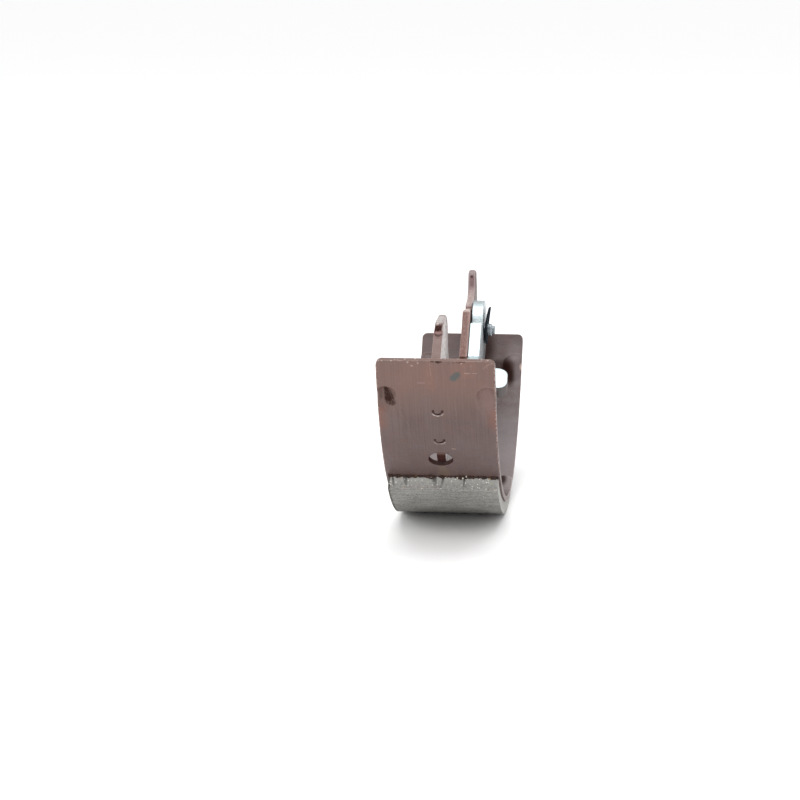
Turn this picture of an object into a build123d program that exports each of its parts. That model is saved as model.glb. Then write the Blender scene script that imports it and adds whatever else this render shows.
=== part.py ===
"""Drum brake shoe with a parking lever, the trailing shoe of an axle's drum brake.

The shoe is a pressed and welded T-section. A curved steel rim (the table) carries a
bonded friction lining on its outside and a flat steel web on its inside. A zinc-plated
parking lever hangs beside the web on a riveted pin, held there by a sprung horseshoe
clip. X runs across the shoe, along the drum's axis.

The outlines of web and lever are drawn in the shoe's own plane, where (y, z) are
measured from the drum's axis with the middle of the rim straight below it. Angles are
counted from there, positive towards the wheel cylinder. At the end the whole shoe is
rocked, as it stands on the round of its lining, and moved so that the origin is the
middle of the hold-down hole.
"""
import os
from math import asin, pi, sqrt

from build123d import *

# ---- driving dimensions, millimetres and degrees -------------------------------------
drum_radius = 101.5                # friction face, a 203 mm drum
lining_thickness = 4.5
lining_width = 38.0
lining_start = -29.9
lining_end = 58.0
lining_end_slope = 0.9             # each end face leans back by this angle

rim_thickness = 1.8
rim_width = 39.5
rim_half_angle = 64.3
rim_corner_radius = 2.1
rim_hole = 8.4
rim_hole_angles = (-37.2, 49.0)

nib_places = ((-54.9, -1), (11.5, 1), (55.2, 1))   # middle of each nib, and its steep end
nib_length = 11.5
nib_inset = 2.9                    # from the rim's edge to the middle of a nib
nib_half_width = 3.5
nib_depth = 2.3

weld_angles = (-52.2, -43.9)       # weld marks on the bare end of the rim
weld_mark_radius = 1.7
weld_mark_width = 0.6
weld_mark_depth = 0.3

web_thickness = 3.0
web_start = -63.3                  # where the web leaves the rim at the anchor end
web_end = 65.2                     # and at the cylinder end
web_inner_radius = 65.4
anchor_tip = ((-77.1, -34.7), (-75.0, -31.9), (-70.4, -29.3), (-59.5, -27.9))
anchor_inner = ((-56.1, -28.9), (-53.4, -32.2))
anchor_inner_angle = -51.5         # where the anchor end meets the inner edge
anchor_rounds = (1.5, 2.5, 2.5)    # in the outline, from the anchor tip inwards
anchor_wear = 6.0                  # worn hollow where the tip bears on the anchor
anchor_wear_place = (-78.3, -32.3)
tip_break = 1.0                    # worn round of the tips, on both faces

horn_foot_angle = 25.8             # the horn beside the strut notch
horn_corner = (32.8, -51.6)
notch_angle = 42.2                 # direction of the strut notch
notch_width = 6.0
notch_length = 12.5
notch_corner_round = 0.8

head_inner_radius = 60.0
head_start_angle = 37.3
head_end_angle = 59.4
ledge_end = (64.5, -30.6)          # the flat ledge beside the piston finger
finger_inner = ((65.2, -28.6), (74.0, -26.4), (77.0, -22.6), (77.5, -18.6))
finger_top = (80.0, -16.2)
finger_outer = ((83.2, -18.0), (87.0, -22.6), (88.0, -29.2))

relief_mouth_angle = -4.45         # middle of the narrow relief slot's mouth
relief_angle = -19.3
relief_length = 15.6
relief_width = 4.6

hold_down_hole = 11.0
hold_down_radius = 83.0
hold_down_angle = 12.3
anchor_spring_hole = 7.6
anchor_spring_inset = 7.2          # from the web's inner edge
anchor_spring_angle = -35.5
piston_spring_hole = 6.5
piston_spring_radius = 84.0
piston_spring_lead = 2.1           # past the web's end on the rim

pin_inset = 15.3                   # the lever's pivot, from the head's inner edge
pin_angle = 59.0
pin_diameter = 6.0
pin_head_diameter = 8.6
pin_head_thickness = 0.8
pin_groove_diameter = 3.9
pin_land_diameter = 4.8
pin_land_length = 1.65
pin_nub_diameter = 3.4
pin_nub_length = 1.15
pin_round = 0.3

lever_thickness = 4.2
lever_gap = 0.35                   # from the web to the lever
lever_running_clearance = 0.05     # all round the pin
lever_head_radius = 11.3
lever_corner = (36.2, -47.4)
lever_shoulder = ((47.0, -35.5), (53.6, -35.7))
lever_elbow = (-33.5, -56.3)       # inner corner where the arm turns up to its hook
lever_back = ((-34.6, -73.4), (42.0, -62.4))
lever_elbow_round = 5.0
lever_heel_round = 11.0
lever_back_round = 10.0

hook_inner_end = (-40.1, -47.0)    # the ends of the hook's front face
hook_outer_end = (-48.9, -53.2)
hook_reach = 19.6                  # from the web side of the arm to the hook's free end
hook_bend_radius = 1.2
hook_slot_width = 3.5
hook_slot_place = 4.8              # middle of the slot, from the inner end
hook_slot_reach = 14.4
hook_slot_depth = 4.4
hook_rounds = (4.0, 3.2)           # its free corners, inner and outer

tab_angle = -18.9                  # where the stop tab stands on the web's inner edge
tab_clearance = 0.3
tab_neck = 4.6
tab_head = 6.2
tab_neck_length = 2.4
tab_length = 6.7
tab_thickness = 4.0
tab_round = 1.9

clip_diameter = 14.4
clip_thickness = 0.6
clip_bow_radius = 52.0
clip_bow_drop = 2.4                # the bow's middle lies this far below the pin
clip_rise = 1.9                    # and the clip's middle this far above it
clip_gap = 0.45                    # from the lever to the clip
clip_fit = 0.15                    # clearance in the pin's groove

rock_angle = -6.25                 # how the shoe leans on the round of its lining

# ---- worked out from them -------------------------------------------------------------
rim_outer = drum_radius - lining_thickness
rim_inner = rim_outer - rim_thickness
web_face = web_thickness / 2
lever_face = web_face + lever_gap
lever_front = lever_face + lever_thickness
clip_face = lever_front + clip_gap
groove_end = clip_face + clip_thickness + clip_fit
tip_break_height = (anchor_inner[1][1] + anchor_tip[1][1]) / 2


def at_angle(radius, angle):
    """A point of the shoe's plane, by radius and by angle from straight down."""
    ray = Vector(0, -radius).rotate(Axis.Z, angle)
    return (ray.X, ray.Y)


def along(point, angle, distance):
    """The point that is a distance away, in the direction of an angle."""
    step = at_angle(distance, angle)
    return (point[0] + step[0], point[1] + step[1])


def corner_rounded(profile, point, radius):
    """The profile with the corner at a point rounded."""
    corner = profile.vertices().sort_by_distance(Vector(point[0], point[1]))[0]
    return fillet(corner, radius)


hold_down_place = at_angle(hold_down_radius, hold_down_angle)
anchor_spring_place = at_angle(web_inner_radius + anchor_spring_inset, anchor_spring_angle)
piston_spring_place = at_angle(piston_spring_radius, web_end + piston_spring_lead)
pin_place = at_angle(head_inner_radius + pin_inset, pin_angle)
relief_mouth = at_angle(web_inner_radius, relief_mouth_angle)


def shoe_plane(x):
    """The plane of the web at a place across the shoe: its x is Y and its y is Z."""
    return Plane(origin=(x, 0, 0), x_dir=(0, 1, 0), z_dir=(1, 0, 0))


def plate(profile, start, thickness):
    """A flat plate of a profile, from start, across the shoe."""
    return extrude(shoe_plane(start) * profile, thickness)


def disc(place, diameter, start, thickness):
    """A round disc or hole cutter across the shoe."""
    return plate(Pos(*place) * Circle(diameter / 2), start, thickness)


def spoke(angle, radius):
    """A plane at a radius, facing outward: its x is across, its y along the arc."""
    out = at_angle(1, angle)
    spot = at_angle(radius, angle)
    return Plane(origin=(0, spot[0], spot[1]), x_dir=(1, 0, 0), z_dir=(0, out[0], out[1]))


def arc_strip(inner, outer, width, start, end, slope=0):
    """A curved strip of rectangular section between two angles."""
    middle = (start + end) / 2
    with BuildSketch() as section:
        with BuildLine():
            ThreePointArc(at_angle(inner, start), at_angle(inner, middle), at_angle(inner, end))
            Line(at_angle(inner, end), at_angle(outer, end - slope))
            ThreePointArc(
                at_angle(outer, end - slope),
                at_angle(outer, middle),
                at_angle(outer, start + slope),
            )
            Line(at_angle(outer, start + slope), at_angle(inner, start))
        make_face()
    return plate(section.sketch, -width / 2, width)


def nib_tool(place, side, steep, growth):
    """The ball-ended press tool of one nib, sunk to full depth at its steep end."""
    nose = (nib_half_width ** 2 + nib_depth ** 2) / (nib_depth * 2)
    across = side * (rim_width / 2 - nib_inset)
    deep_end = Vector(across, steep * (nib_half_width - nib_length / 2), nose - nib_depth)
    blend_end = Vector(across, steep * nib_length / 2, nose)
    tool = Sphere(nose + growth)
    tool += Plane(origin=(0, 0, 0), z_dir=blend_end - deep_end) * Cylinder(
        nose + growth, nib_length * 2, align=(Align.CENTER, Align.CENTER, Align.MIN)
    )
    return place * (Pos(deep_end) * tool)


def make_rim():
    """The pressed rim: a rolled strip with rounded corners, two holes and six nibs."""
    rim = arc_strip(rim_inner, rim_outer, rim_width, -rim_half_angle, rim_half_angle)
    corners = rim.edges().filter_by(
        lambda edge: abs(edge.length - rim_thickness) < rim_thickness / 10
    )
    rim = fillet(corners, rim_corner_radius)
    for angle in rim_hole_angles:
        rim -= spoke(angle, rim_outer) * Cylinder(rim_hole / 2, rim_thickness * 4)
    middle = (rim_inner + rim_outer) / 2
    bump_zone = arc_strip(
        rim_inner - nib_depth * 2, middle, rim_width, -rim_half_angle, rim_half_angle
    )
    for angle, steep in nib_places:
        place = spoke(angle, rim_outer)
        for side in (-1, 1):
            rim += nib_tool(place, side, steep, rim_thickness) & bump_zone
            rim -= nib_tool(place, side, steep, 0)
    for angle in weld_angles:
        ring = Cylinder(weld_mark_radius, weld_mark_depth * 2)
        ring -= Cylinder(weld_mark_radius - weld_mark_width, weld_mark_depth * 2)
        ring &= Pos(0, -weld_mark_radius, 0) * Box(
            weld_mark_radius * 2, weld_mark_radius * 2, weld_mark_depth * 2
        )
        rim -= spoke(angle, rim_outer) * ring
    return rim


def make_lining():
    """The bonded friction lining, one moulded strip."""
    return arc_strip(
        rim_outer, drum_radius, lining_width, lining_start, lining_end, lining_end_slope
    )


def make_web():
    """The flat web, blanked from plate."""
    inner_start = at_angle(web_inner_radius, anchor_inner_angle)
    inner_end = at_angle(web_inner_radius, horn_foot_angle)
    inner_middle = at_angle(web_inner_radius, (anchor_inner_angle + horn_foot_angle) / 2)
    head_start = at_angle(head_inner_radius, head_start_angle)
    head_end = at_angle(head_inner_radius, head_end_angle)
    head_middle = at_angle(head_inner_radius, (head_start_angle + head_end_angle) / 2)
    foot = at_angle(rim_inner, web_start)
    toe = at_angle(rim_inner, web_end)
    with BuildSketch() as outline:
        with BuildLine():
            Polyline(foot, *anchor_tip, *anchor_inner, inner_start)
            ThreePointArc(inner_start, inner_middle, inner_end)
            Polyline(inner_end, horn_corner, head_start)
            ThreePointArc(head_start, head_middle, head_end)
            Polyline(head_end, ledge_end, *finger_inner)
            ThreePointArc(finger_inner[-1], finger_top, finger_outer[0])
            Polyline(*finger_outer, toe)
            ThreePointArc(toe, at_angle(rim_inner, (web_start + web_end) / 2), foot)
        make_face()
    profile = outline.sketch
    for point, radius in zip((anchor_tip[3], *anchor_inner), anchor_rounds):
        profile = corner_rounded(profile, point, radius)
    profile -= Pos(*anchor_wear_place) * Circle(anchor_wear / 2)
    web = plate(profile, -web_face, web_thickness)
    tips = [
        edge for edge in web.edges()
        if edge.center().Z > tip_break_height and abs(edge.tangent_at(0).X) < tip_break
    ]
    web = fillet(tips, tip_break)

    notch_mouth = (
        (horn_corner[0] + head_start[0]) / 2,
        (horn_corner[1] + head_start[1]) / 2,
    )
    notch_end = along(notch_mouth, notch_angle, notch_length)
    notch = Rectangle(notch_width, notch_length * 2)
    notch = fillet(notch.vertices(), notch_corner_round)
    notch = Pos(*along(notch_end, notch_angle, -notch_length)) * Rot(0, 0, notch_angle) * notch
    web -= plate(notch, -web_face, web_thickness)

    relief_end = along(relief_mouth, relief_angle, relief_length)
    relief = Pos(*relief_mouth) * Rot(0, 0, relief_angle) * Rectangle(
        relief_width, relief_length * 2 - relief_width
    )
    web -= plate(relief, -web_face, web_thickness)
    relief_round = along(relief_end, relief_angle, -relief_width / 2)
    web -= disc(relief_round, relief_width, -web_face, web_thickness)

    web -= disc(hold_down_place, hold_down_hole, -web_face, web_thickness)
    web -= disc(anchor_spring_place, anchor_spring_hole, -web_face, web_thickness)
    web -= disc(piston_spring_place, piston_spring_hole, -web_face, web_thickness)
    web -= disc(pin_place, pin_diameter, -web_face, web_thickness)

    return web


def make_pin():
    """The shouldered pin, staked flush in the web and grooved for its clip."""
    start = -web_face - pin_head_thickness
    pin = disc(pin_place, pin_head_diameter, start, pin_head_thickness)
    pin = chamfer(pin.faces().sort_by(Axis.X)[0].edges(), pin_round)
    pin += disc(pin_place, pin_diameter, -web_face, web_face + lever_front)
    pin += disc(pin_place, pin_groove_diameter, lever_front, groove_end - lever_front)
    land = disc(pin_place, pin_land_diameter, groove_end, pin_land_length)
    land = chamfer(land.faces().sort_by(Axis.X)[-1].edges(), pin_round)
    pin += land
    nub = disc(pin_place, pin_nub_diameter, groove_end + pin_land_length, pin_nub_length)
    nub = chamfer(nub.faces().sort_by(Axis.X)[-1].edges(), pin_round)
    pin += nub
    return pin


def make_hook():
    """The flange folded out at the lever's end, slotted for the cable."""
    inner = Vector(*hook_inner_end)
    across = Vector(*hook_outer_end) - inner
    width = across.length
    across = across.normalized()
    back = across.rotate(Axis.Z, 90)
    fold = Plane(
        origin=(lever_face, inner.X, inner.Y),
        x_dir=(0, back.X, back.Y),
        z_dir=(0, across.X, across.Y),
    )
    foot = lever_thickness + hook_bend_radius
    with BuildSketch() as section:
        with BuildLine():
            Polyline(
                (0, hook_reach), (0, 0), (foot * 2, 0), (foot * 2, lever_thickness),
                (lever_thickness, lever_thickness), (lever_thickness, hook_reach),
                (0, hook_reach),
            )
        make_face()
    profile = corner_rounded(section.sketch, (0, 0), foot)
    profile = corner_rounded(profile, (lever_thickness, lever_thickness), hook_bend_radius)
    hook = extrude(fold * profile, width)

    face = Plane(origin=fold.origin, x_dir=fold.z_dir, z_dir=fold.x_dir)
    rise = 1 if face.y_dir.X > 0 else -1
    front = Pos(width / 2, rise * hook_reach / 2) * Rectangle(width, hook_reach)
    front = corner_rounded(front, (0, rise * hook_reach), hook_rounds[0])
    front = corner_rounded(front, (width, rise * hook_reach), hook_rounds[1])
    hook &= extrude(face * front, foot * 2)
    slot = Pos(hook_slot_place, 0) * Rectangle(hook_slot_width, hook_slot_reach * 2)
    hook -= extrude(face * slot, hook_slot_depth)
    return hook


def make_tab():
    """The stop tab that stands through the web's plane and rests on its inner edge."""
    radius = web_inner_radius - tab_clearance - tab_head / 2
    spot = at_angle(radius, tab_angle)
    out = at_angle(1, tab_angle)
    side = Plane(
        origin=(lever_face, spot[0], spot[1]), x_dir=(0, out[0], out[1]), z_dir=(0, -out[1], out[0])
    )
    rise = 1 if side.y_dir.X < 0 else -1
    head = Pos(0, rise * (tab_length + tab_neck_length) / 2) * RectangleRounded(
        tab_head, tab_length - tab_neck_length, tab_round
    )
    neck = Rectangle(tab_neck, (tab_neck_length + tab_round) * 2)
    return extrude(side * (head + neck), tab_thickness / 2, both=True)


def make_lever():
    """The stamped parking lever: arm, round head, stop tab and folded cable hook."""
    across = Vector(*hook_outer_end) - Vector(*hook_inner_end)
    back = across.normalized().rotate(Axis.Z, 90) * (lever_thickness + hook_bend_radius)
    inner = (hook_inner_end[0] + back.X, hook_inner_end[1] + back.Y)
    outer = (hook_outer_end[0] + back.X, hook_outer_end[1] + back.Y)
    heel, root = lever_back
    reach = Vector(*pin_place) - Vector(*root)
    turn = asin(lever_head_radius / reach.length) * 180 / pi
    run = sqrt(reach.length ** 2 - lever_head_radius ** 2)
    tangent = Vector(*root) + reach.normalized().rotate(Axis.Z, -turn) * run
    with BuildSketch() as outline:
        with BuildLine():
            Polyline(
                root, heel, outer, inner, lever_elbow, lever_corner, *lever_shoulder,
                pin_place, (tangent.X, tangent.Y), root,
            )
        make_face()
    profile = corner_rounded(outline.sketch, lever_elbow, lever_elbow_round)
    profile = corner_rounded(profile, heel, lever_heel_round)
    profile = corner_rounded(profile, root, lever_back_round)
    profile += Pos(*pin_place) * Circle(lever_head_radius)
    lever = plate(profile, lever_face, lever_thickness)
    lever += make_hook()
    lever += make_tab()
    bore = pin_diameter + lever_running_clearance * 2
    lever -= disc(pin_place, bore, lever_face, lever_thickness)
    return lever


def make_clip():
    """The sprung horseshoe clip, bowed from strip, its legs standing off the lever."""
    middle = (pin_place[0], pin_place[1] + clip_rise)
    slot_width = pin_groove_diameter + clip_fit * 2
    outline = Pos(*middle) * Circle(clip_diameter / 2)
    outline -= Pos(*pin_place) * Circle(slot_width / 2)
    outline -= Pos(pin_place[0], pin_place[1] + clip_diameter / 2) * Rectangle(
        slot_width, clip_diameter
    )
    sheet = Cylinder(clip_bow_radius, clip_diameter)
    sheet -= Cylinder(clip_bow_radius - clip_thickness, clip_diameter)
    bow_height = pin_place[1] - clip_bow_drop
    bowed = Pos(clip_face + clip_bow_radius, pin_place[0], bow_height) * Rot(90, 0, 0) * sheet
    return bowed & plate(outline, lever_front, clip_bow_radius / 2)


def stood(solid):
    """The finished piece as it stands, with the hold-down hole at the origin."""
    return Rot(rock_angle, 0, 0) * Pos(0, -hold_down_place[0], -hold_down_place[1]) * solid


os.makedirs("parts", exist_ok=True)
export_step(stood(make_rim()), "parts/rim.step")
export_step(stood(make_lining()), "parts/lining.step")
export_step(stood(make_web()), "parts/web.step")
export_step(stood(make_pin()), "parts/pivot_pin.step")
export_step(stood(make_lever()), "parts/parking_lever.step")
export_step(stood(make_clip()), "parts/spring_clip.step")
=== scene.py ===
import math

import bpy
from mathutils import Matrix, Vector, noise


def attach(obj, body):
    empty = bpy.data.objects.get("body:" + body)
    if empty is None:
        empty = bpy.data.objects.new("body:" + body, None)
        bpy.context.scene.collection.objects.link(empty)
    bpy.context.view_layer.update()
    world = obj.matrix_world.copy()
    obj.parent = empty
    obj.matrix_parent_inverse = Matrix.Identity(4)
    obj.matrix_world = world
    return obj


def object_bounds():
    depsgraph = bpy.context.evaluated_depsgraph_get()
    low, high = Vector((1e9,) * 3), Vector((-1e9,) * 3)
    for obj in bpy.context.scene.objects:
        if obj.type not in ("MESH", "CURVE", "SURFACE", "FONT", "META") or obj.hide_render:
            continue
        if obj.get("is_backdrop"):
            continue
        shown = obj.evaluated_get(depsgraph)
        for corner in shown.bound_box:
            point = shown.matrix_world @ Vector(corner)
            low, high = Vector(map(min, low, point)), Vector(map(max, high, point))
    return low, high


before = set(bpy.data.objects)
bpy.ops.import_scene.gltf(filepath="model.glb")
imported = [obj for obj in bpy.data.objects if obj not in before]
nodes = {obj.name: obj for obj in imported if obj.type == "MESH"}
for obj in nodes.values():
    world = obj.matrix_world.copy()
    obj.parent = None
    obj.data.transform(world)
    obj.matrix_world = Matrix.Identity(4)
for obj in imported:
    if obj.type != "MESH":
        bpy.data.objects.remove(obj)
cad_low, cad_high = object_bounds()


# ---- The rim -------------------------------------------------------------------------
# A strip of 1.8 mm steel, rolled to an arc, pressed with six nibs and dipped in a thin
# brown primer. Handling has rubbed the primer off its sheared edges, and the press and
# the welder have left grinding lines, scratches and stains on its bare end.
drum_axis = (-0.00875, 0.08253)  # y and z of the brake drum's own axis
rim_outside = 0.0970
rim_inside = 0.0952
rim_edge_round = 0.0004
nib_round = 0.0016
rolling_line_depth = 0.000015
rim_grit_depth = 0.00003
rim_dip_depth = 0.00005
millimetres = 1000.0  # in a metre

# Places on the rim are in millimetres: across the shoe, and along the arc from its
# lowest point, below zero towards the bare end with the weld marks.
rim_holes = (-73.6, 72.4)
hole_lip = 8.6  # across the darkened disc at each hole
nib_places = (-103.5, 8.9, 82.9)
weld_marks = (-98.95, -84.9)
weld_mark_side = 0.2

primer_deep = (0.072, 0.040, 0.036)
primer_warm = (0.150, 0.078, 0.061)
primer_grey = (0.090, 0.063, 0.061)
primer_red = (0.190, 0.068, 0.042)
primer_blush = (0.33, 0.12, 0.06)
pocket_light_brown = (0.21, 0.125, 0.115)
primer_dull = (0.180, 0.148, 0.152)
primer_dusty = (0.232, 0.192, 0.194)
primer_worn = (0.430, 0.300, 0.262)
rim_edge_bright = (0.74, 0.60, 0.55)
rim_edge_worn = (0.52, 0.38, 0.34)
rim_edge_dark = (0.050, 0.014, 0.010)
bump_sheen = (0.190, 0.150, 0.158)
bump_glint = (0.50, 0.36, 0.30)
bare_steel = (0.560, 0.480, 0.450)
scuff_grey = (0.060, 0.066, 0.064)
nib_base_shade = (0.018, 0.009, 0.007)
stain = (0.130, 0.085, 0.052)
rim_dirt_and_shade = (0.034, 0.014, 0.011)


class Value:
    """A number or a colour inside a material. Arithmetic on it adds the nodes."""

    def __init__(self, paint, socket):
        self.paint = paint
        self.socket = socket

    def maths(self, operation, *others):
        """The outcome of a Math node on this value and any others."""
        inputs = dict(enumerate((self, *others)))
        return self.paint.node("ShaderNodeMath", inputs, operation=operation)

    def __add__(self, other):
        return self.maths("ADD", other)

    def __sub__(self, other):
        return self.maths("SUBTRACT", other)

    def __mul__(self, other):
        return self.maths("MULTIPLY", other)

    def __rsub__(self, other):
        return self * -1.0 + other

    __radd__ = __add__
    __rmul__ = __mul__

    def ramp(self, low, high, start=0.0, end=1.0):
        """From start at low to end at high, smoothly, and flat beyond."""
        inputs = {"Value": self, "From Min": low, "From Max": high}
        inputs |= {"To Min": start, "To Max": end}
        return self.paint.node(
            "ShaderNodeMapRange", inputs, interpolation_type="SMOOTHSTEP"
        )

    def fade(self, low, high):
        """1 up to low and 0 from high on."""
        return self.ramp(low, high, 1.0, 0.0)

    def between(self, start, end):
        """A mask from 0 to 1, brought to lie between start and end."""
        return self.ramp(0.0, 1.0, start, end)

    def band(self, low, high, soft):
        """1 between low and high, and 0 beyond, with soft sides."""
        return self.ramp(low - soft, low + soft) * self.fade(high - soft, high + soft)

    def either(self, other):
        """The stronger of two masks."""
        return self.maths("MAXIMUM", other)


class Paint:
    """A material being made. node() makes one node and wires what it is given."""

    def __init__(self, name, roughness=0.5, metallic=0.0, specular=0.5):
        self.material = bpy.data.materials.new(name)
        self.material.use_nodes = True
        self.tree = self.material.node_tree
        self.surface = self.tree.nodes["Principled BSDF"]
        self.set(roughness=roughness, metallic=metallic)
        self.surface.inputs["Specular IOR Level"].default_value = specular
        self.place = self.node("ShaderNodeTexCoord", output="Object")
        self.across, self.fore, self.height = (
            part * millimetres for part in self.parts(self.place)
        )
        self.normal = self.node("ShaderNodeNewGeometry", output="Normal")
        self.facing = self.parts(self.normal)
        self.flank = self.facing[0].maths("ABSOLUTE").ramp(0.6, 0.9)

    def node(self, kind, inputs=None, output=0, **properties):
        """A node of a kind, with its properties and its inputs' values or links."""
        made = self.tree.nodes.new(kind)
        for key, value in properties.items():
            setattr(made, key, value)
        for key, value in (inputs or {}).items():
            self.wire(made.inputs[key], value)
        return Value(self, made.outputs[output])

    def wire(self, socket, value):
        """Links a value to a socket, or sets the socket to a plain number or colour."""
        if isinstance(value, Value):
            self.tree.links.new(value.socket, socket)
        elif socket.type == "RGBA":
            socket.default_value = (*value, 1.0)
        else:
            socket.default_value = value

    def set(self, colour=None, roughness=None, metallic=None, normal=None):
        """Gives the surface what is named, and leaves the rest as it is."""
        given = {
            "Base Color": colour,
            "Roughness": roughness,
            "Metallic": metallic,
            "Normal": normal,
        }
        for name, value in given.items():
            if value is not None:
                self.wire(self.surface.inputs[name], value)

    def parts(self, vector):
        """The x, y and z of a vector."""
        return [self.node("ShaderNodeSeparateXYZ", {0: vector}, part) for part in "XYZ"]

    def mix(self, mask, first, second):
        """The first colour where the mask is 0, and the second where it is 1."""
        inputs = {0: mask, 6: first, 7: second}
        return self.node("ShaderNodeMix", inputs, 2, data_type="RGBA")

    def grain(self, size, stretch=(1.0, 1.0, 1.0), detail=3.0, place=None):
        """Cloudy noise with grains of a size in metres, stretched along the axes."""
        scale = tuple(1.0 / (size * part) for part in stretch)
        inputs = {0: place or self.place, 1: scale}
        scaled = self.node("ShaderNodeVectorMath", inputs, operation="MULTIPLY")
        inputs = {"Vector": scaled, "Scale": 1.0, "Detail": detail, "Roughness": 0.6}
        return self.node("ShaderNodeTexNoise", inputs, "Fac").ramp(0.25, 0.75)

    def specks(self, size, share, place=None):
        """Small round specks, in a share of the cells of a size in metres."""
        inputs = {"Vector": place or self.place, "Scale": 1.0 / size}
        gap = self.node("ShaderNodeTexVoronoi", inputs, "Distance")
        tint = self.node("ShaderNodeTexVoronoi", inputs, "Color")
        chosen = self.node("ShaderNodeSeparateColor", {0: tint}, "Red")
        return gap.fade(0.20, 0.40) * chosen.ramp(1.0 - share, 1.0 - share * 0.8)

    def roll(self):
        """Places on the arc in millimetres: along it from the lowest point, and out."""
        radius = rim_outside * millimetres
        behind = self.fore - drum_axis[0] * millimetres
        below = drum_axis[1] * millimetres - self.height
        reach = (behind * behind + below * below).maths("SQRT")
        self.along = behind.maths("ARCTAN2", below) * radius
        self.out = reach - radius
        outward = self.facing[1] * behind - self.facing[2] * below
        self.outside = outward.maths("DIVIDE", reach).ramp(0.1, 0.4)
        inputs = {"X": self.across, "Y": self.along, "Z": self.out}
        flat = self.node("ShaderNodeCombineXYZ", inputs)
        inputs = {0: flat, "Scale": 1.0 / millimetres}
        self.rolled = self.node("ShaderNodeVectorMath", inputs, operation="SCALE")

    def spot(self, along, across, along_size, across_size, soft=0.5, warp=None):
        """An oval on the arc in millimetres: 1 in its middle and 0 outside."""
        side = (self.across - across) * (2.0 / across_size)
        arc = (self.along - along) * (2.0 / along_size)
        reach = (side * side + arc * arc).maths("SQRT")
        if warp:
            reach = reach + warp
        return reach.fade(1.0 - soft, 1.0 + soft)

    def line(self, measure, start, end, width, end_width):
        """A line from start to end, each of them a place across and on a measure."""
        run = (end[0] - start[0], end[1] - start[1])
        length = run[0] ** 2 + run[1] ** 2
        side = self.across - start[0]
        rise = measure - start[1]
        share = side * (run[0] / length) + rise * (run[1] / length)
        share = share.maths("MAXIMUM", 0.0).maths("MINIMUM", 1.0)
        side = side - share * run[0]
        rise = rise - share * run[1]
        gap = (side * side + rise * rise).maths("SQRT")
        gap = gap + share * ((width - end_width) / 2)
        return gap.fade(width * 0.25, width * 0.7)

    def rounded(self, radius, samples=6):
        """The normal with every sharp edge rounded off."""
        return self.node("ShaderNodeBevel", {"Radius": radius}, samples=samples)

    def edges(self, soft_normal):
        """1 along the edges that a rounded normal softens, and 0 on the faces."""
        inputs = {0: soft_normal, 1: self.normal}
        match = self.node(
            "ShaderNodeVectorMath", inputs, "Value", operation="DOT_PRODUCT"
        )
        return match.fade(0.86, 0.995)

    def bump(self, height, depth, normal):
        """The normal with a height from 0 to 1 standing a depth in metres proud."""
        inputs = {"Height": height, "Distance": depth, "Normal": normal}
        return self.node("ShaderNodeBump", {**inputs, "Strength": 1.0})

    def dull_layer(self, mask, colour):
        """A dull colour without gloss over the paint: dirt, bloom, painted shade and
        reflection.
        """
        dull = self.node("ShaderNodeBsdfDiffuse", {"Color": colour, "Roughness": 1.0})
        gloss = Value(self, self.surface.outputs[0])
        both = self.node("ShaderNodeMixShader", {0: mask, 1: gloss, 2: dull})
        output = self.tree.nodes["Material Output"]
        self.tree.links.new(both.socket, output.inputs["Surface"])

    def cover(self, *pieces):
        """Puts the material on the pieces, in place of what they have."""
        for piece in pieces:
            piece.data.materials.clear()
            piece.data.materials.append(self.material)


primer = Paint("brown_primer_rim")
primer.roll()
outside = primer.outside
inside = 1.0 - outside
sides = primer.across.maths("ABSOLUTE")
clouds = primer.grain(0.016, (1.0, 1.4, 1.0))
mottle = primer.grain(0.0030)
broken = primer.grain(0.0012)
fine = primer.grain(0.0005, detail=2.0)
lines = primer.grain(0.00045, (1.0, 60.0, 1.0), detail=2.0, place=primer.rolled)
soft_normal = primer.rounded(rim_edge_round)
edge = primer.edges(soft_normal)

# The coat is thin and warm at the bare end and red beside the nibs there. Outside, it is
# painted darker towards the lining, as shade where the rim faces down. Dust lies on the
# low inside of the arc.
bare_end = primer.along.fade(-112.0, -92.0)
low_end = primer.along.ramp(-84.0, -62.0) * outside
reds = sides.ramp(15.0, 19.5) * primer.along.band(-101.5, -91.0, 3.5) * outside
dull_inside = primer.along.band(26.0, 60.0, 8.0) * inside
dusty_inside = primer.along.band(-6.0, 44.0, 9.0) * inside
blush = primer.spot(-113.0, -2.0, 10.0, 3.0, 0.8)
blush = blush.either(primer.spot(-116.5, 9.5, 6.0, 7.0, 0.8))
colour = primer.mix(clouds, primer_deep, primer_grey)
colour = primer.mix(bare_end * clouds.between(0.85, 0.55), colour, primer_warm)
colour = primer.mix(mottle * 0.25, colour, primer_warm)
colour = primer.mix(lines * outside * 0.07, colour, primer_worn)
colour = primer.mix(reds * mottle.between(0.5, 1.0) * 0.7, colour, primer_red)
colour = primer.mix(low_end * 0.45, colour, primer_deep)
colour = primer.mix(dull_inside * 0.75, colour, primer_dull)
colour = primer.mix(dusty_inside * 0.75, colour, primer_dusty)
colour = primer.mix(blush * mottle * 0.22, colour, primer_blush)
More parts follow.
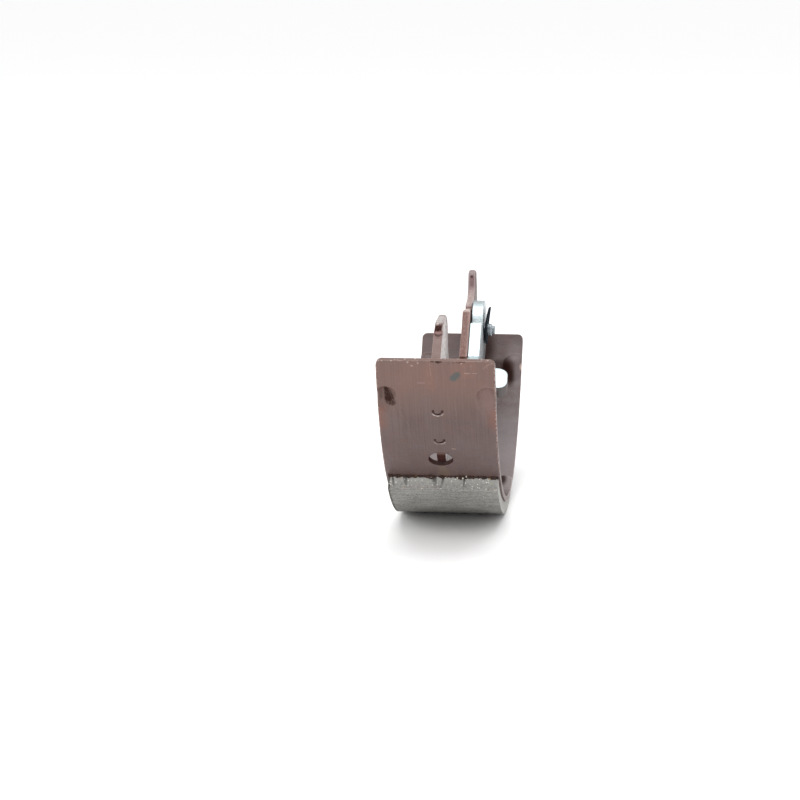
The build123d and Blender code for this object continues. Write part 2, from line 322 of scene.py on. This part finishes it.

# Painted shade darkens the creases round the bases of the nibs' bumps on the inside.
for place in nib_places:
    ring = primer.spot(place, 0.0, 13.0, 35.0, 0.16) * sides.band(12.0, 14.5, 1.0)
    colour = primer.mix(ring * inside * mottle.between(0.2, 0.6), colour, nib_base_shade)
# Painted shade in the pocket of one nib outside, and along the rim's edge beside it.
dirt_and_shade = primer.line(primer.along, (-17.0, -107.5), (-16.2, -103.0), 1.4, 2.6)
halo = primer.line(primer.along, (-16.6, -106.8), (-15.5, -102.6), 2.0, 3.8)
dirt_and_shade = dirt_and_shade.either(halo * fine.ramp(0.1, 0.9, 0.62, 0.92))
for start, end, width, strength in (
    ((-18.8, -108.1), (-17.2, -107.8), 1.0, 0.60),
    ((-19.0, -107.6), (-18.6, -103.6), 1.6, 0.30),
):
    trace = primer.line(primer.along, start, end, width, width * 0.8)
    dirt_and_shade = dirt_and_shade.either(trace * strength)
dirt_and_shade = dirt_and_shade * (fine + mottle).ramp(0.2, 1.1, 0.6, 1.0) * outside * 0.92
# Painted light: the pocket of the nib across from it is lightened against its shade.
painted_pocket_light = primer.spot(-104.0, 16.6, 10.0, 5.6, 0.6) * outside
colour = primer.mix(painted_pocket_light * 0.55, colour, pocket_light_brown)
# Painted shade on the inside, beside two of the bumps and behind the lever.
for along, across, length, width, strength in (
    (81.6, 13.6, 7.4, 5.4, 0.97),
    (79.0, 15.2, 8.5, 3.5, 0.90),
    (84.2, 10.5, 5.0, 7.0, 0.60),
    (92.0, 4.6, 17.0, 8.0, 0.80),
    (8.8, 16.4, 7.6, 3.0, 0.90),
):
    shade = primer.spot(along, across, length, width, 0.6)
    dirt_and_shade = dirt_and_shade.either(shade * inside * strength)

# The welder left a half ring at each weld, with a painted highlight on its lower rim, and
# the rim is darkened in each hole.
for place in weld_marks:
    side = primer.across - weld_mark_side
    arc = primer.along - place
    reach = (side * side + arc * arc).maths("SQRT")
    ring = reach.band(1.30, 1.75, 0.16) * arc.ramp(-0.6, 0.2)
    ends = arc.band(-0.5, 0.7, 0.3) * reach.band(1.2, 1.95, 0.2)
    glint = reach.band(2.0, 2.35, 0.14) * arc.ramp(0.9, 1.5)
    dirt_and_shade = dirt_and_shade.either(ring * broken.ramp(0.1, 0.6, 0.3, 0.8)).either(ends * 0.8)
    colour = primer.mix(glint * broken.ramp(0.3, 0.6) * 0.75, colour, bare_steel)
for place in rim_holes:
    lip = primer.spot(place, 0.0, hole_lip, hole_lip, 0.03)
    dirt_and_shade = dirt_and_shade.either(lip * 0.85)

# A grey scuff, chips along the top edge, and a stain that has run to the lining.
scuff = primer.line(primer.along, (5.9, -112.9), (7.2, -114.3), 2.6, 2.4)
scuff = scuff * (broken + mottle).ramp(0.5, 0.9, 0.75, 1.0)
colour = primer.mix(scuff * outside * 0.92, colour, scuff_grey)
ragged = (broken - 0.5) * 0.9
chips = primer.spot(-119.6, -0.8, 1.3, 1.3, 0.3, ragged)
chips = chips.either(primer.spot(-119.4, 0.9, 1.4, 2.4, 0.3, ragged))
long_chip = primer.line(primer.along, (4.4, -118.9), (9.6, -119.1), 0.6, 0.5)
chips = chips.either(long_chip * broken.ramp(0.25, 0.5))
dirt_and_shade = dirt_and_shade.either(chips * outside * 0.85)
run = primer.line(primer.along, (0.2, -69.0), (0.6, -64.0), 2.2, 4.0)
colour = primer.mix(run * outside * mottle.between(0.35, 0.6), colour, stain)

# Scratches, each with its ends, its width and how far it cuts through the primer.
for start, end, width, strength in (
    ((9.6, -114.9), (13.8, -115.0), 0.30, 0.50),
    ((-6.8, -110.8), (-1.8, -110.9), 0.26, 0.40),
    ((4.1, -80.2), (5.4, -80.0), 0.34, 0.75),
    ((15.8, -116.8), (18.8, -119.7), 0.20, 0.35),
    ((16.6, -117.4), (18.9, -119.0), 0.18, 0.30),
    ((15.6, -118.6), (17.4, -116.9), 0.18, 0.30),
    ((-1.4, -112.8), (-1.9, -118.5), 0.36, 0.18),
    ((-8.0, -117.6), (-7.4, -117.4), 0.50, 0.70),
    ((-12.0, -119.4), (-4.0, -119.6), 0.40, 0.50),
    ((-15.0, -105.0), (-9.0, -90.0), 0.20, 0.10),
    ((6.0, -104.0), (6.6, -96.0), 0.22, 0.12),
):
    mark = primer.line(primer.along, start, end, width, width * 0.6)
    mark = mark * outside * broken.ramp(0.2, 0.6)
    colour = primer.mix(mark * strength, colour, primer_worn)

# The top edge is rubbed bright, with a painted highlight along it, and the margins of the
# bare end are speckled. Painted highlights stand for the shine of the bumps inside, and
# sharp edges are worn, but not on nibs and weld marks.
top_edge = primer.along.fade(-120.3, -119.6) * broken.ramp(0.25, 0.55)
colour = primer.mix(top_edge * 0.9, colour, rim_edge_bright)
margin = sides.ramp(19.2, 19.6) * primer.along.fade(-72.0, -58.0) * outside
colour = primer.mix(margin * fine.ramp(0.55, 0.75) * 0.8, colour, rim_edge_worn)
colour = primer.mix(margin * fine.fade(0.25, 0.45) * 0.8, colour, rim_edge_dark)
sheen = primer.spot(90.0, 16.8, 9.0, 6.0, 0.7)
sheen = sheen.either(primer.spot(80.5, 18.4, 12.0, 3.0, 0.7)) * inside
colour = primer.mix(sheen * 0.5, colour, bump_sheen)
glint = primer.spot(83.0, 19.5, 2.4, 0.9, 0.4) * inside
colour = primer.mix(glint * 0.7, colour, bump_glint)
flecks = primer.specks(0.0011, 0.30, primer.rolled) * primer.along.fade(-119.5, -117.0)
colour = primer.mix(flecks * 0.6, colour, bare_steel)
pockets = sides.band(12.0, 19.3, 0.4) * primer.along.band(-110.0, -97.0, 0.5) * outside
kept = primer.out.band(-4.6, -1.95, 0.1).either(pockets)
welded = primer.spot(-92.0, 0.6, 24.0, 6.0, 0.1)
rubbed = edge * (1.0 - kept) * broken.ramp(0.2, 0.7, 0.35, 1.0) * (1.0 - welded)
colour = primer.mix(rubbed * 0.85, colour, primer_worn)

# The press leaves no sharp corner on a nib, so the rounding is wider there.
nib_sides = sides.ramp(11.0, 12.5) * sides.fade(19.2, 19.5)
nib_rows = primer.along.band(-110.5, -96.5, 0.3)
for low, high in ((2.0, 16.0), (76.0, 90.0)):
    nib_rows = nib_rows.either(primer.along.band(low, high, 0.3))
inputs = {0: nib_sides * nib_rows, 4: soft_normal, 5: primer.rounded(nib_round, 8)}
soft_normal = primer.node("ShaderNodeMix", inputs, 1, data_type="VECTOR")
normal = primer.bump(lines * outside, rolling_line_depth, soft_normal)
normal = primer.bump(fine, rim_grit_depth, normal)
normal = primer.bump(mottle, rim_dip_depth, normal)
primer.set(colour, mottle.between(0.36, 0.50), normal=normal)
primer.dull_layer(dirt_and_shade, rim_dirt_and_shade)
primer.cover(nodes["rim"])


# ---- The web -------------------------------------------------------------------------
# A blank of 3 mm plate in the same primer, welded edge-on into the rim. Its sheared
# edges are browner, where the primer ran thin over the break, and the tip that slides
# on the anchor is rubbed pale.
tip_place = (-86.0, 57.0)  # fore and height of the anchor tip, in millimetres
web_edge_round = 0.0004
burr_depth = 0.00006
web_grit_depth = 0.00003
web_dip_depth = 0.00006

web_faces = (0.105, 0.064, 0.058)
web_edges = (0.160, 0.078, 0.058)
web_pale = (0.520, 0.470, 0.460)
web_corners = (0.50, 0.37, 0.34)
tip_scraped = (0.80, 0.78, 0.78)
tip_front = (0.170, 0.108, 0.100)
tip_top = (0.40, 0.37, 0.36)
tip_chip = (0.62, 0.55, 0.52)
tip_lip = (0.34, 0.18, 0.17)
head_edges = (0.135, 0.056, 0.041)
head_low_edges = (0.115, 0.034, 0.017)
head_streaks = (0.46, 0.32, 0.30)
head_shoulder = (0.62, 0.52, 0.49)
finger_edges = (0.175, 0.105, 0.112)
finger_corners = (0.50, 0.42, 0.41)
finger_ledge = (0.44, 0.36, 0.33)
finger_top = (0.30, 0.27, 0.26)
web_dirt_and_shade = (0.040, 0.014, 0.013)

web = Paint("brown_primer_web")
web.roll()
clouds = web.grain(0.014)
mottle = web.grain(0.0028)
fine = web.grain(0.0005, detail=2.0)
speckle = web.grain(0.0004, detail=3.0)
burr = web.grain(0.0006, (6.0, 1.0, 1.0))
soft_normal = web.rounded(web_edge_round)
edge = web.edges(soft_normal)
lever_side = web.facing[0].ramp(0.5, 0.9)
sheared = 1.0 - web.flank
colour = web.mix(clouds, web_faces, primer_grey)
colour = web.mix(mottle * 0.3, colour, primer_warm)
colour = web.mix(sheared * 0.8, colour, web_edges)
colour = web.mix(sheared * burr * mottle * 0.5, colour, primer_grey)

# Behind the first hole of the rim, the web's edge is painted dark lower down, as shade,
# and its lever side has a painted highlight.
rooted = web.out.ramp(-3.0, -2.4) * web.along.ramp(-75.2, -72.8)
dirt_and_shade = sheared * rooted * 0.9
side = (web.along - rim_holes[0]) * 0.22
rise = (web.out + 3.2) * 0.28
hole_flank_highlight = lever_side * (side * side + rise * rise).fade(0.2, 1.4)
colour = web.mix(hole_flank_highlight * speckle.ramp(0.0, 0.6, 0.4, 0.7), colour, web_pale)

# The anchor tip is scraped pale on its flanks, less and less away from its point.
fore = web.fore - tip_place[0]
height = web.height - tip_place[1]
near_tip = (fore * fore + height * height).maths("SQRT").fade(5.0, 23.0)
flanks = near_tip * web.flank
scraped = web.grain(0.0006, (1.0, 4.0, 1.0), detail=4.0).ramp(0.15, 0.6, 0.25, 1.0)
colour = web.mix(flanks * scraped * 0.85, colour, web_pale)
rubs = web.grain(0.0006, (1.0, 4.0, 7.0)).ramp(0.6, 0.9)
colour = web.mix(flanks * rubs * 0.5, colour, tip_scraped)
front = sheared * web.fore.fade(-76.0, -70.0)
colour = web.mix(front * web.height.ramp(30.0, 56.0) * 0.5, colour, tip_front)

# At the other end, the head's edge is red and streaked, with a painted highlight down its
# lever-side corner, and the piston finger's greyer.
on_finger = web.fore.ramp(50.0, 56.0) * web.height.ramp(44.0, 48.0)
head = sheared * web.fore.ramp(10.0, 20.0) * (1.0 - on_finger)
finger = sheared * on_finger
streaks = web.grain(0.0006, (1.0, 2.0, 16.0)).ramp(0.45, 0.9) * 0.15
streaks = streaks + web.across.ramp(0.3, 1.3) * 0.35
corners = (web.across + 0.1).maths("ABSOLUTE").ramp(0.7, 1.4)
colour = web.mix(head * 0.75, colour, head_edges)
colour = web.mix(head * web.height.fade(30.0, 44.0) * 0.8, colour, head_low_edges)
colour = web.mix(head * streaks, colour, head_streaks)
colour = web.mix(finger * 0.75, colour, finger_edges)
colour = web.mix(finger * corners * 0.6, colour, finger_corners)

# Handling has rubbed the sharp edges. The ledge, shoulder and tops are lighter still,
# painted highlights where light from above falls on them.
rubbed = edge * mottle.between(0.45, 1.0) * web.height.ramp(0.0, 30.0, 0.4, 1.0)
colour = web.mix(rubbed * 0.8, colour, web_corners)
colour = web.mix(on_finger * edge * speckle.ramp(0.1, 0.5) * 0.6, colour, web_pale)
ledge = finger * web.height.fade(49.5, 51.5) * speckle.ramp(0.1, 0.6)
colour = web.mix(ledge * 0.65, colour, finger_ledge)
shoulder = head * web.height.ramp(45.4, 46.3) * speckle.ramp(0.0, 0.4)
colour = web.mix(shoulder * 0.7, colour, head_shoulder)
tops = front * web.height.ramp(60.0, 60.6)
tops = tops + near_tip * edge * web.height.ramp(58.0, 60.0)
colour = web.mix(tops * speckle.ramp(0.0, 0.5) * 0.9, colour, tip_top)

# The anchor has worn a hollow in the tip, painted dark as shade, with a bright chip over
# it, and a lip and a groove below.
torn = web.height + (speckle - 0.5) * 0.9
hollow = front * torn.band(58.1, 59.9, 0.25) * web.across.band(-1.45, 1.05, 0.2)
dirt_and_shade = dirt_and_shade.either(hollow * 0.95)
chip = front * web.height.band(59.8, 60.25, 0.15) * web.across.band(-0.9, -0.1, 0.2)
colour = web.mix(chip * 0.8, colour, tip_chip)
lip = front * web.height.band(57.4, 58.0, 0.2)
colour = web.mix(lip * 0.5, colour, tip_lip)
sag = web.height - web.across * web.across * 0.35
groove = front * sag.band(56.4, 57.0, 0.2) * web.across.band(-1.3, 1.3, 0.2)
dirt_and_shade = dirt_and_shade.either(groove * 0.7)

# The finger's top is speckled, with a pit in it, and the web's lever side is painted dark
# as shade where the lever stands over it.
top = finger * web.height.ramp(54.5, 57.0) * speckle
colour = web.mix(top * 0.8, colour, finger_top)
by_lever = lever_side * web.fore.band(34.0, 56.0, 4.0) * web.height.ramp(26.0, 32.0)
dirt_and_shade = dirt_and_shade.either(by_lever * mottle.between(0.5, 0.9))
pit = finger * web.height.band(55.0, 55.9, 0.3) * web.across.band(-0.6, 0.4, 0.3)
dirt_and_shade = dirt_and_shade.either(pit * 0.85)
normal = web.bump(burr * sheared, burr_depth, soft_normal)
normal = web.bump(fine, web_grit_depth, normal)
normal = web.bump(mottle, web_dip_depth, normal)
web.set(colour, mottle.between(0.38, 0.52), normal=normal)
web.dull_layer(dirt_and_shade, web_dirt_and_shade)
web.cover(nodes["web"])


# ---- The weld seam -------------------------------------------------------------------
# Where the web stands on the rim, the projection welds have pushed out small nuggets of
# steel, and primer has pooled between them. One seam runs down each side of the web.
seam_runs = ((-66.0, -46.6), (-40.2, 39.6), (46.0, 55.0))  # degrees, clear of the holes
seam_offset = 0.0016  # from the middle of the web
seam_steps = 2.2  # to the degree
seam_thickness = 0.00030
seam_ripple = 0.00018
nugget_thickness = 0.00060
nugget_pitch = 9.5  # millimetres from weld to weld
seam_lift = 0.0001  # of the middle of the bead, off the rim
pooled_depth = 0.0001
pooled_dark = (0.045, 0.020, 0.016)


def on_arc(across, angle, radius):
    """A point across the shoe, at an angle and a radius from the drum's axis."""
    turn = math.radians(angle)
    fore = drum_axis[0] + radius * math.sin(turn)
    return Vector((across, fore, drum_axis[1] - radius * math.cos(turn)))


def bead(name, places, radii, sides=8):
    """A lumpy bead through the places, as thick as the radii, closed at its ends."""
    lumps_per_metre = 1500
    lumpiness = 0.3
    corners = []
    for index, (place, radius) in enumerate(zip(places, radii)):
        before = places[max(index - 1, 0)]
        after = places[min(index + 1, len(places) - 1)]
        run = (after - before).normalized()
        side = run.orthogonal() if index == 0 else side - run * side.dot(run)
        side = side.normalized()
        lift = run.cross(side)
        for corner in range(sides):
            turn = math.tau * corner / sides
            spoke = side * math.cos(turn) + lift * math.sin(turn)
            lump = noise.noise((place + spoke * radius) * lumps_per_metre)
            corners.append(place + spoke * radius * (1.0 + lumpiness * lump))
    faces = []
    for first in range(0, (len(places) - 1) * sides, sides):
        for corner in range(sides):
            after = (corner + 1) % sides
            near = (first + corner, first + after)
            faces.append((*near, first + sides + after, first + sides + corner))
    last = (len(places) - 1) * sides
    faces.append(tuple(reversed(range(sides))))
    faces.append(tuple(range(last, last + sides)))
    mesh = bpy.data.meshes.new(name)
    mesh.from_pydata([tuple(corner) for corner in corners], [], faces)
    mesh.shade_smooth()
    piece = bpy.data.objects.new(name, mesh)
    bpy.context.collection.objects.link(piece)
    return piece


seams = []
for name, across in (
    ("weld_seam_lever_side", seam_offset),
    ("weld_seam_plain_side", -seam_offset),
):
    for number, (start, end) in enumerate(seam_runs, 1):
        places = []
        radii = []
        steps = round((end - start) * seam_steps)
        for step in range(steps + 1):
            angle = start + (end - start) * step / steps
            run = math.radians(angle) * rim_inside * millimetres
            ripple = noise.noise(Vector((run * 0.6, across * 3000, 0.0)))
            nugget = max(0.0, math.cos(math.tau * run / nugget_pitch)) ** 3
            nugget = nugget_thickness * nugget * (0.8 + 0.5 * ripple)
            places.append(on_arc(across, angle, rim_inside - seam_lift))
            radii.append(seam_thickness + seam_ripple * ripple + nugget)
        seams.append(bead(f"{name}_{number}", places, radii))
        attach(seams[-1], "shoe")

seam = Paint("pooled_primer")
lumps = seam.grain(0.0012)
colour = seam.mix(lumps, pooled_dark, primer_warm)
normal = seam.bump(lumps, pooled_depth, seam.normal)
seam.set(colour, lumps.between(0.30, 0.5), normal=normal)
seam.cover(*seams)


# ---- The lining ----------------------------------------------------------------------
# A strip of moulded friction compound, bonded to the rim: fibres, filler, and chips of
# metal in resin, cut at its ends and ground on its face. Dark cuts cross its end face.
lining_edge_round = 0.0003
grit_depth = 0.00020
grinding_depth = 0.00008
sand_depth = 0.00008
cut_depth = 0.0005

compound = (0.270, 0.262, 0.243)
compound_dark = (0.118, 0.118, 0.108)
compound_pale = (0.470, 0.460, 0.435)
crest_pale = (0.60, 0.58, 0.55)
cut_dark = (0.035, 0.036, 0.034)
margin_dark = (0.030, 0.024, 0.020)
glitter = (0.90, 0.88, 0.82)
brass = (0.55, 0.38, 0.16)

lining = Paint("friction_compound", specular=0.3)
lining.roll()
grit = lining.grain(0.0008, detail=4.0)
sand = lining.grain(0.00030, detail=2.0)
ground = lining.grain(0.0006, (14.0, 1.0, 1.0), place=lining.rolled)
blots = lining.grain(0.008)
soft_normal = lining.rounded(lining_edge_round)
edge = lining.edges(soft_normal)
face = lining.out.ramp(4.2, 4.45)
end_face = lining.along.fade(-61.4, -59.4) * (1.0 - face)
colour = lining.mix(grit.ramp(0.1, 0.8), compound_dark, compound)
colour = lining.mix(blots * 0.3, colour, compound_pale)
colour = lining.mix(ground.ramp(0.5, 0.9) * face * 0.32, colour, compound_pale)
colour = lining.mix(face * ground.fade(0.1, 0.4) * 0.40, colour, compound_dark)
colour = lining.mix(sand.ramp(0.55, 0.9) * 0.45, colour, compound_pale)
colour = lining.mix(sand.fade(0.1, 0.35) * 0.45, colour, compound_dark)
colour = lining.mix(end_face * 0.75, colour, compound_pale)
# Painted shade: the face darkens towards the lowest point, where it looks down.
low_face = face * lining.along.ramp(-46.0, -26.0)
colour = lining.mix(low_face * 0.4, colour, compound_dark)
flanks = lining.flank * sand.ramp(0.1, 0.6, 0.35, 0.85)
colour = lining.mix(flanks, colour, compound_pale)

# The saw's cuts, from the rim outwards, each with its width at the rim and further out.
cuts = lining.line(lining.out, (-13.2, 0.0), (-12.2, 4.6), 1.5, 0.6)
for start, end, width, end_width in (
    ((-3.1, 0.0), (-2.4, 4.8), 1.7, 0.6),
    ((0.1, 0.4), (-0.9, 4.8), 0.8, 0.5),
    ((7.4, 0.6), (7.2, 4.2), 0.7, 0.4),
    ((-17.3, 1.0), (-16.9, 4.0), 0.6, 0.4),
):
    cuts = cuts.either(lining.line(lining.out, start, end, width, end_width))
cuts = cuts * end_face
colour = lining.mix(cuts * 0.92, colour, cut_dark)

# The crest between the end and the face has a painted highlight, the plain side's margin
# is darker, and chips of steel and brass glint in the compound.
crest = lining.out.band(4.0, 4.7, 0.2) * lining.along.fade(-60.6, -59.0)
colour = lining.mix(crest * ground.ramp(0.3, 0.7) * 0.55, colour, crest_pale)
dark_margin = (lining.across + (grit - 0.5) * 0.8).fade(-18.6, -18.1) * (1.0 - lining.flank)
colour = lining.mix(dark_margin * 0.75, colour, margin_dark)
rough_faces = 1.0 - face * 0.75
sparks = lining.specks(0.0006, 0.20) * rough_faces
golds = lining.specks(0.0008, 0.06) * rough_faces
colour = lining.mix(sparks * 0.9, colour, glitter)
colour = lining.mix(golds * 0.8, colour, brass)
colour = lining.mix(edge * sand * 0.5, colour, compound_pale)
normal = lining.bump(grit, grit_depth, soft_normal)
normal = lining.bump(ground * face, grinding_depth, normal)
normal = lining.bump(sand, sand_depth, normal)
normal = lining.bump(1.0 - cuts, cut_depth, normal)
lining.set(colour, sparks.between(0.85, 0.35), normal=normal)
lining.cover(nodes["lining"])


# ---- The bonding adhesive ------------------------------------------------------------
# A line of dark resin squeezed out all round the lining when it was cured in its clamp,
# ragged, with amber lumps and dust of the lining stuck in it.
lining_half_width = 0.0190
lining_start = -36.15  # degrees
lining_end = 51.75
least_resin = 0.00006
resin_lift = 0.00002  # of the bead's middle, off the rim
clot_depth = 0.0001
resin_dark = (0.012, 0.006, 0.005)
resin_brown = (0.060, 0.030, 0.020)
resin_amber = (0.36, 0.19, 0.06)
lining_dust = (0.75, 0.70, 0.60)


def squeezed(name, start, end, steps, thickness, roughness):
    """Resin along a joint, from start to end as (across, angle), with ragged lumps."""
    places = []
    radii = []
    for step in range(steps + 1):
        share = step / steps
        across = start[0] + (end[0] - start[0]) * share
        angle = start[1] + (end[1] - start[1]) * share
        spot = on_arc(across, angle, rim_outside + resin_lift)
        ragged = noise.noise(spot * 900) + 0.6 * noise.noise(spot * 2600)
        places.append(spot)
        radii.append(max(least_resin, thickness + roughness * ragged))
    return bead(name, places, radii, 6)


left, right = -lining_half_width, lining_half_width
squeezes = [
    squeezed(f"adhesive_{side}", start, end, steps, thickness, roughness)
    for side, start, end, steps, thickness, roughness in (
        ("front", (left, lining_start), (right, lining_start), 170, 0.00070, 0.00065),
        ("back", (left, lining_end), (right, lining_end), 150, 0.00036, 0.00026),
        ("left", (left, lining_start), (left, lining_end), 300, 0.00016, 0.00014),
        ("right", (right, lining_start), (right, lining_end), 300, 0.00016, 0.00014),
    )
]
resin = Paint("cured_resin", specular=0.2)
clots = resin.grain(0.0011)
crumbs = resin.specks(0.0010, 0.14)
amber = resin.specks(0.0018, 0.22)
colour = resin.mix(clots, resin_dark, resin_brown)
colour = resin.mix(amber * 0.8, colour, resin_amber)
colour = resin.mix(crumbs, colour, lining_dust)
normal = resin.bump(clots, clot_depth, resin.normal)
resin.set(colour, clots.between(0.35, 0.6), normal=normal)
resin.cover(*squeezes)
for piece in squeezes:
    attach(piece, "shoe")


# ---- The parking lever ---------------------------------------------------------------
# Stamped from 4.2 mm plate with the cable hook and stop tab folded out of it, then
# barrel-plated in bright zinc that shows cloudy blue-white. It turns on the pivot pin.
lever_edge_round = 0.0005
drag_depth = 0.00004
spangle_depth = 0.00003
hook_facing = (-0.483, 0.875)  # y and z of the way that the hook's front looks
zinc_cloud = (0.44, 0.51, 0.53)
zinc_clear = (0.49, 0.55, 0.56)
zinc_spangle = (0.60, 0.67, 0.71)
zinc_side_shade = (0.40, 0.44, 0.46)
hook_shade = (0.135, 0.100, 0.096)

zinc = Paint("bright_zinc", metallic=1.0)
clouds = zinc.grain(0.008)
spangle = zinc.grain(0.0009, detail=4.0)
drag = zinc.grain(0.0004, (8.0, 1.0, 1.0))
colour = zinc.mix(clouds, zinc_cloud, zinc_clear)
colour = zinc.mix(spangle.ramp(0.6, 1.0) * 0.3, colour, zinc_spangle)
# Painted shade: the side faces are a darker grey than the plated faces.
colour = zinc.mix(zinc.flank * clouds.between(0.95, 0.75), colour, zinc_side_shade)

# Painted shade and a painted reflection of the brown shoe make the hook's lower edge
# faces a dull brown-grey.
front = zinc.facing[1] * hook_facing[0] + zinc.facing[2] * hook_facing[1]
low_hook = zinc.across.ramp(6.0, 9.0) * zinc.height.fade(37.5, 39.0)
low_hook = low_hook * zinc.fore.fade(-56.0, -52.0) * front.fade(0.2, 0.6)
sheared = 1.0 - zinc.flank
normal = zinc.bump(drag * sheared, drag_depth, zinc.rounded(lever_edge_round))
normal = zinc.bump(spangle, spangle_depth, normal)
zinc.set(colour, spangle.between(0.26, 0.40), normal=normal)
zinc.dull_layer(low_hook * 0.9, hook_shade)
zinc.cover(nodes["parking_lever"])


# ---- The pivot pin -------------------------------------------------------------------
# The lever's bearing: a steel pin turned from bar, with a groove for the clip near its
# free end, zinc-plated and riveted into the web.
pin_edge_round = 0.0003
turning_depth = 0.00003
plate_tarnish_and_shade = (0.20, 0.24, 0.26)
plate_clean = (0.42, 0.46, 0.49)

pin = Paint("plated_pin", metallic=1.0)
rings = pin.grain(0.0003, (0.3, 6.0, 6.0))
tarnish = pin.grain(0.0015)
# The plating is tarnished, and darkened further as painted shade.
colour = pin.mix(tarnish, plate_tarnish_and_shade, plate_clean)
normal = pin.bump(rings, turning_depth, pin.rounded(pin_edge_round))
pin.set(colour, tarnish.between(0.35, 0.5), normal=normal)
pin.cover(nodes["pivot_pin"])


# ---- The spring clip -----------------------------------------------------------------
# A bowed horseshoe of 0.6 mm spring steel, blanked, hardened and phosphated black. It
# is sprung into the pin's groove and keeps the lever on the pin.
clip_edge_round = 0.0002
phosphate_depth = 0.00004
phosphate_dark = (0.006, 0.008, 0.012)
phosphate_grey = (0.016, 0.020, 0.027)
phosphate_bloom = (0.016, 0.021, 0.030)

black = Paint("black_phosphate", specular=0.06)
bloom = black.grain(0.0012)
colour = black.mix(bloom, phosphate_dark, phosphate_grey)
normal = black.bump(bloom, phosphate_depth, black.rounded(clip_edge_round))
black.set(colour, bloom.between(0.60, 0.75), normal=normal)
black.dull_layer(bloom.between(0.35, 0.65), phosphate_bloom)
black.cover(nodes["spring_clip"])


# ---- The table, the light and the camera ---------------------------------------------
# The shoe stands on a plain white table, wide enough for every view, under a white sky.
# One softbox hangs over it and a weaker one stands to the left of the camera.
table_size = 12.0
table_white = (0.97, 0.97, 0.97)
sky_white = (1.0, 1.0, 1.0, 1.0)
sky_strength = 1.0
lamp_target = Vector((0.0, 0.0, 0.02))

bpy.ops.mesh.primitive_plane_add(size=table_size, location=(0.0, 0.0, cad_low.z))
floor = bpy.context.object
floor.name = "floor"
table = Paint("white_table", roughness=0.9, specular=0.2)
table.set(table_white)
table.cover(floor)
floor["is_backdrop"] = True

bpy.context.scene.view_settings.view_transform = "Standard"
world = bpy.data.worlds.new("studio")
bpy.context.scene.world = world
world.use_nodes = True
sky = world.node_tree.nodes["Background"]
sky.inputs["Color"].default_value = sky_white
sky.inputs["Strength"].default_value = sky_strength

for name, watts, width, depth, spot in (
    ("overhead_softbox", 9.5, 1.2, 1.0, (0.00, 0.00, 1.30)),
    ("side_softbox", 4.0, 0.8, 0.8, (-1.00, -0.60, 0.55)),
):
    lamp = bpy.data.lights.new(name, "AREA")
    lamp.energy = watts
    lamp.shape = "RECTANGLE"
    lamp.size = width
    lamp.size_y = depth
    softbox = bpy.data.objects.new(name, lamp)
    bpy.context.collection.objects.link(softbox)
    softbox.location = spot
    aim = lamp_target - softbox.location
    softbox.rotation_euler = aim.to_track_quat("-Z", "Y").to_euler()

# The camera stands a metre away, a little above the shoe and to its lever side.
camera_place = (0.07472, -0.96270, 0.19700)
forward = Vector((-0.0978, 0.9785, -0.1815)).normalized()
right = Vector((0.9950, 0.0995, 0.0)).normalized()
up = right.cross(forward)
lens = bpy.data.cameras.new("camera")
lens.lens = 120.24
lens.sensor_width = 36.0
camera = bpy.data.objects.new("camera", lens)
bpy.context.collection.objects.link(camera)
bpy.context.scene.camera = camera
turned = Matrix((right, up, -forward)).transposed().to_4x4()
camera.matrix_world = Matrix.Translation(camera_place) @ turned

low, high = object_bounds()
